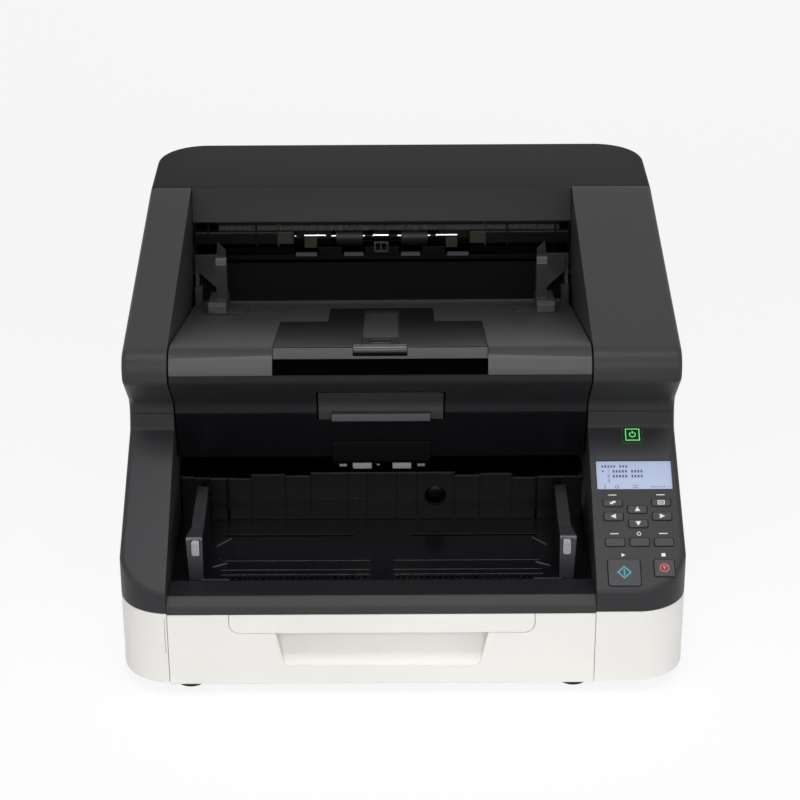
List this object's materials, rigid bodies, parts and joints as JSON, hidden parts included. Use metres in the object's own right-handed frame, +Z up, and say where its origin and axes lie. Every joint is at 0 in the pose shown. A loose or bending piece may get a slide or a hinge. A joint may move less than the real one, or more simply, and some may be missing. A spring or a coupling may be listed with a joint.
{
  "type": "document scanner",
  "caption": "Production document scanner: lifting feed tray in front, eject tray on top, hinged upper unit, control panel with display and keys.",
  "frame": {"origin": "middle of the footprint, on the plane the rubber feet stand on", "axes": "+X to the scanner's right as its user faces it, -Y towards the user, +Z up"},
  "size_m": [0.486, 0.527, 0.315],
  "materials": {
    "white_cover": "fine matte grain",
    "dark_cover": "fine matte grain",
    "black_cover": "fine matte grain",
    "nose_grey": "satin",
    "lever_black": "satin",
    "tray_black": "satin",
    "gloss_black": "semi gloss",
    "guide_grey": "semi gloss",
    "button_grey": "semi gloss",
    "mechanism_black": "matte",
    "key_black": "satin",
    "display": "clear window over a pale blue-grey display",
    "unit_housing": "matte with a glass window",
    "zinc_sheet": "zinc-plated sheet",
    "pin_steel": "polished",
    "motor_steel": "plain",
    "board": "lacquered",
    "foot_rubber": "matte",
    "roller_rubber": "matte",
    "pick_rubber": "matte"
  },
  "bodies": {
    "base": {"bottom_plate": "zinc_sheet", "rubber_feet": "foot_rubber", "left_base_cover": "white_cover", "right_base_cover": "white_cover", "front_base_cover": "white_cover", "left_lower_cover": "dark_cover", "panel_cover": "dark_cover", "left_upper_cover": "black_cover", "right_upper_cover": "black_cover", "top_cover": "black_cover", "rear_cover": "black_cover", "front_lip": "dark_cover", "tray_frame": "zinc_sheet", "feed_back_wall": "gloss_black", "left_side_frame": "zinc_sheet", "right_side_frame": "zinc_sheet", "lower_path_plate": "zinc_sheet", "lower_scan_unit": "unit_housing", "eject_frame": "mechanism_black", "brush_strip": "mechanism_black", "lcd_window": "display", "main_board": "board", "power_supply": "zinc_sheet", "drive_motor": "motor_steel", "power_inlet": "mechanism_black", "hinge_pins": "pin_steel", "cover_screws": "pin_steel"},
    "upper_unit": {"eject_tray": "tray_black", "nose_cover": "nose_grey", "lower_front_panel": "black_cover", "upper_scan_unit": "unit_housing", "pickup_block": "mechanism_black", "upper_unit_frame": "zinc_sheet"},
    "lever": {"open_lever": "lever_black"},
    "tray_extension": {"eject_extension": "tray_black"},
    "stopper": {"eject_stopper": "lever_black"},
    "exit_guide_left": {"eject_guide_left": "tray_black"},
    "exit_guide_right": {"eject_guide_right": "tray_black"},
    "exit_drive": {"eject_shaft": "pin_steel", "eject_rollers": "roller_rubber"},
    "elevator": {"elevator_tray": "gloss_black"},
    "feed_guide_left": {"document_guide_left": "guide_grey"},
    "feed_guide_right": {"document_guide_right": "guide_grey"},
    "guide_button_left": {"lock_button_left": "button_grey"},
    "guide_button_right": {"lock_button_right": "button_grey"},
    "feed_extension": {"feed_tray_extension": "white_cover"},
    "pick_drive": {"pick_rollers": "pick_rubber"},
    "transport_drive": {"transport_roller": "roller_rubber"},
    "power_key_body": {"power_key": "key_black"},
    "job_key_body": {"job_key": "key_black"},
    "menu_key_body": {"menu_key": "key_black"},
    "up_key_body": {"up_key": "key_black"},
    "left_key_body": {"left_key": "key_black"},
    "right_key_body": {"right_key": "key_black"},
    "down_key_body": {"down_key": "key_black"},
    "back_key_body": {"back_key": "key_black"},
    "ok_key_body": {"ok_key": "key_black"},
    "function_key_body": {"function_key": "key_black"},
    "start_key_body": {"start_key": "key_black"},
    "stop_key_body": {"stop_key": "key_black"}
  },
  "joints": [
    {"name": "upper_unit_hinge", "type": "hinge", "parent": "base", "child": "upper_unit", "pos_m": [-0.0185, 0.1245, 0.232], "axis": [-1, 0, 0], "range_deg": [0, 32]},
    {"name": "open_lever_hinge", "type": "hinge", "parent": "upper_unit", "child": "lever", "pos_m": [-0.0185, -0.1365, 0.2325], "axis": [-1, 0, 0], "range_deg": [0, 14], "stiffness_Nm_per_rad": 0.6},
    {"name": "tray_extension_slide", "type": "slide", "parent": "upper_unit", "child": "tray_extension", "axis": [0, -0.965, 0.2622], "range_m": [0, 0.12]},
    {"name": "stopper_hinge", "type": "hinge", "parent": "tray_extension", "child": "stopper", "pos_m": [-0.0185, -0.15094, 0.27433], "axis": [1, 0, 0], "range_deg": [0, 95]},
    {"name": "exit_guide_left_slide", "type": "slide", "parent": "upper_unit", "child": "exit_guide_left", "axis": [1, 0, 0], "range_m": [0, 0.06]},
    {"name": "exit_guide_right_slide", "type": "slide", "parent": "upper_unit", "child": "exit_guide_right", "axis": [1, 0, 0], "range_m": [-0.06, 0]},
    {"name": "exit_drive_spin", "type": "hinge", "parent": "base", "child": "exit_drive", "pos_m": [-0.0185, 0.1495, 0.2605], "axis": [1, 0, 0], "continuous": true},
    {"name": "elevator_lift", "type": "slide", "parent": "base", "child": "elevator", "axis": [0, 0, 1], "range_m": [0, 0.045]},
    {"name": "feed_guide_left_slide", "type": "slide", "parent": "elevator", "child": "feed_guide_left", "axis": [1, 0, 0], "range_m": [0, 0.118]},
    {"name": "feed_guide_right_slide", "type": "slide", "parent": "elevator", "child": "feed_guide_right", "axis": [1, 0, 0], "range_m": [-0.118, 0]},
    {"name": "guide_button_left_press", "type": "slide", "parent": "feed_guide_left", "child": "guide_button_left", "axis": [0, 1, 0], "range_m": [0, 0.0015], "stiffness_N_per_m": 800},
    {"name": "guide_button_right_press", "type": "slide", "parent": "feed_guide_right", "child": "guide_button_right", "axis": [0, 1, 0], "range_m": [0, 0.0015], "stiffness_N_per_m": 800},
    {"name": "feed_extension_slide", "type": "slide", "parent": "base", "child": "feed_extension", "axis": [0, -1, 0], "range_m": [0, 0.15]},
    {"name": "pick_drive_spin", "type": "hinge", "parent": "upper_unit", "child": "pick_drive", "pos_m": [-0.0185, -0.1005, 0.1466], "axis": [1, 0, 0], "continuous": true},
    {"name": "transport_drive_spin", "type": "hinge", "parent": "base", "child": "transport_drive", "pos_m": [-0.0185, -0.0355, 0.127], "axis": [1, 0, 0], "continuous": true},
    {"name": "power_key_press", "type": "slide", "parent": "base", "child": "power_key_body", "axis": [0, 0.527, -0.8499], "range_m": [0, 0.0008], "stiffness_N_per_m": 900},
    {"name": "job_key_press", "type": "slide", "parent": "base", "child": "job_key_body", "axis": [0, 0.527, -0.8499], "range_m": [0, 0.0008], "stiffness_N_per_m": 900},
    {"name": "menu_key_press", "type": "slide", "parent": "base", "child": "menu_key_body", "axis": [0, 0.527, -0.8499], "range_m": [0, 0.0008], "stiffness_N_per_m": 900},
    {"name": "up_key_press", "type": "slide", "parent": "base", "child": "up_key_body", "axis": [0, 0.527, -0.8499], "range_m": [0, 0.0008], "stiffness_N_per_m": 900},
    {"name": "left_key_press", "type": "slide", "parent": "base", "child": "left_key_body", "axis": [0, 0.527, -0.8499], "range_m": [0, 0.0008], "stiffness_N_per_m": 900},
    {"name": "right_key_press", "type": "slide", "parent": "base", "child": "right_key_body", "axis": [0, 0.527, -0.8499], "range_m": [0, 0.0008], "stiffness_N_per_m": 900},
    {"name": "down_key_press", "type": "slide", "parent": "base", "child": "down_key_body", "axis": [0, 0.527, -0.8499], "range_m": [0, 0.0008], "stiffness_N_per_m": 900},
    {"name": "back_key_press", "type": "slide", "parent": "base", "child": "back_key_body", "axis": [0, 0.527, -0.8499], "range_m": [0, 0.0008], "stiffness_N_per_m": 900},
    {"name": "ok_key_press", "type": "slide", "parent": "base", "child": "ok_key_body", "axis": [0, 0.527, -0.8499], "range_m": [0, 0.0008], "stiffness_N_per_m": 900},
    {"name": "function_key_press", "type": "slide", "parent": "base", "child": "function_key_body", "axis": [0, 0.527, -0.8499], "range_m": [0, 0.0008], "stiffness_N_per_m": 900},
    {"name": "start_key_press", "type": "slide", "parent": "base", "child": "start_key_body", "axis": [0, 0.527, -0.8499], "range_m": [0, 0.0008], "stiffness_N_per_m": 900},
    {"name": "stop_key_press", "type": "slide", "parent": "base", "child": "stop_key_body", "axis": [0, 0.527, -0.8499], "range_m": [0, 0.0008], "stiffness_N_per_m": 900}
  ],
  "couplings": [
    {"joint": "exit_guide_right_slide", "follows": "exit_guide_left_slide", "ratio": -1},
    {"joint": "feed_guide_right_slide", "follows": "feed_guide_left_slide", "ratio": -1}
  ]
}
